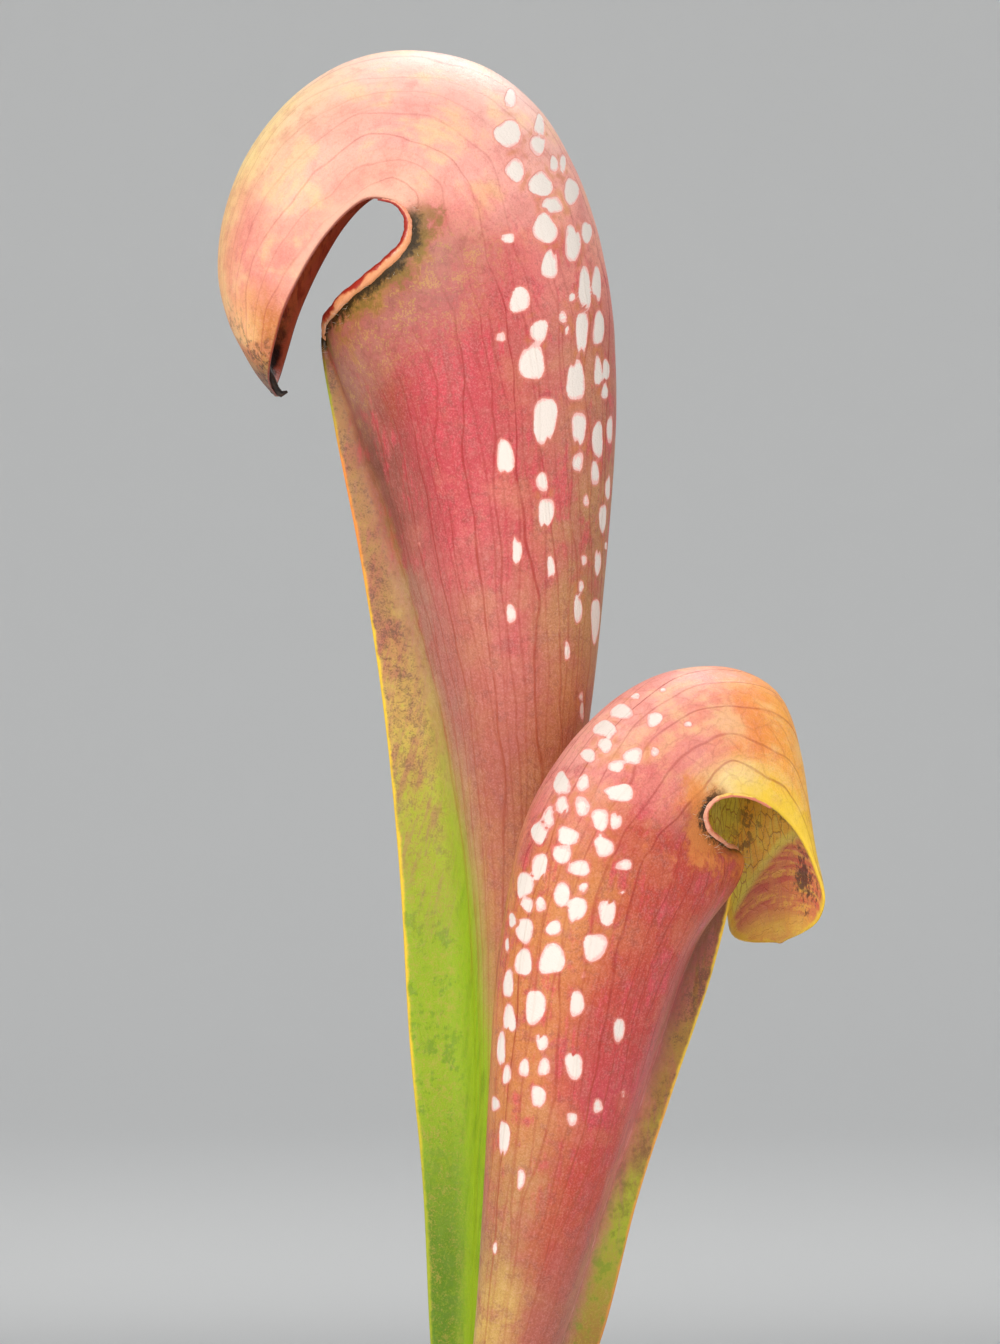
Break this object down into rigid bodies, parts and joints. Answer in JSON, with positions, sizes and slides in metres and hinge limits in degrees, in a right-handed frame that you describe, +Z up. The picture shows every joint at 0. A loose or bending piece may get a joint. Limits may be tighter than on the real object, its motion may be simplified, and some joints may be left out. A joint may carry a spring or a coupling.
{
  "type": "potted hooded pitcher plant",
  "caption": "Hooded pitcher plant: tall and short hollow leaves with arched hoods and winged fronts, rising from a scaly crown in growing mix in a round nursery pot.",
  "frame": {"origin": "centre of the pot's underside, on the surface that it stands on", "axes": "+Z up along the pot's axis, +X to the right in the picture, +Y away from the camera"},
  "size_m": [0.11, 0.11, 0.298],
  "materials": {
    "pot_plastic": "moulded matte charcoal plastic",
    "growing_mix": "damp, crumbly peat and bark with perlite and moss",
    "crown": "dry brown scales over a green-brown rhizome",
    "leaf": "waxy satin, red and pink with pale windows and a green wing"
  },
  "bodies": {
    "root": {"pot": "pot_plastic", "growing_mix": "growing_mix", "crown": "crown", "pitcher_tall": "leaf", "pitcher_short": "leaf"}
  },
  "joints": []
}
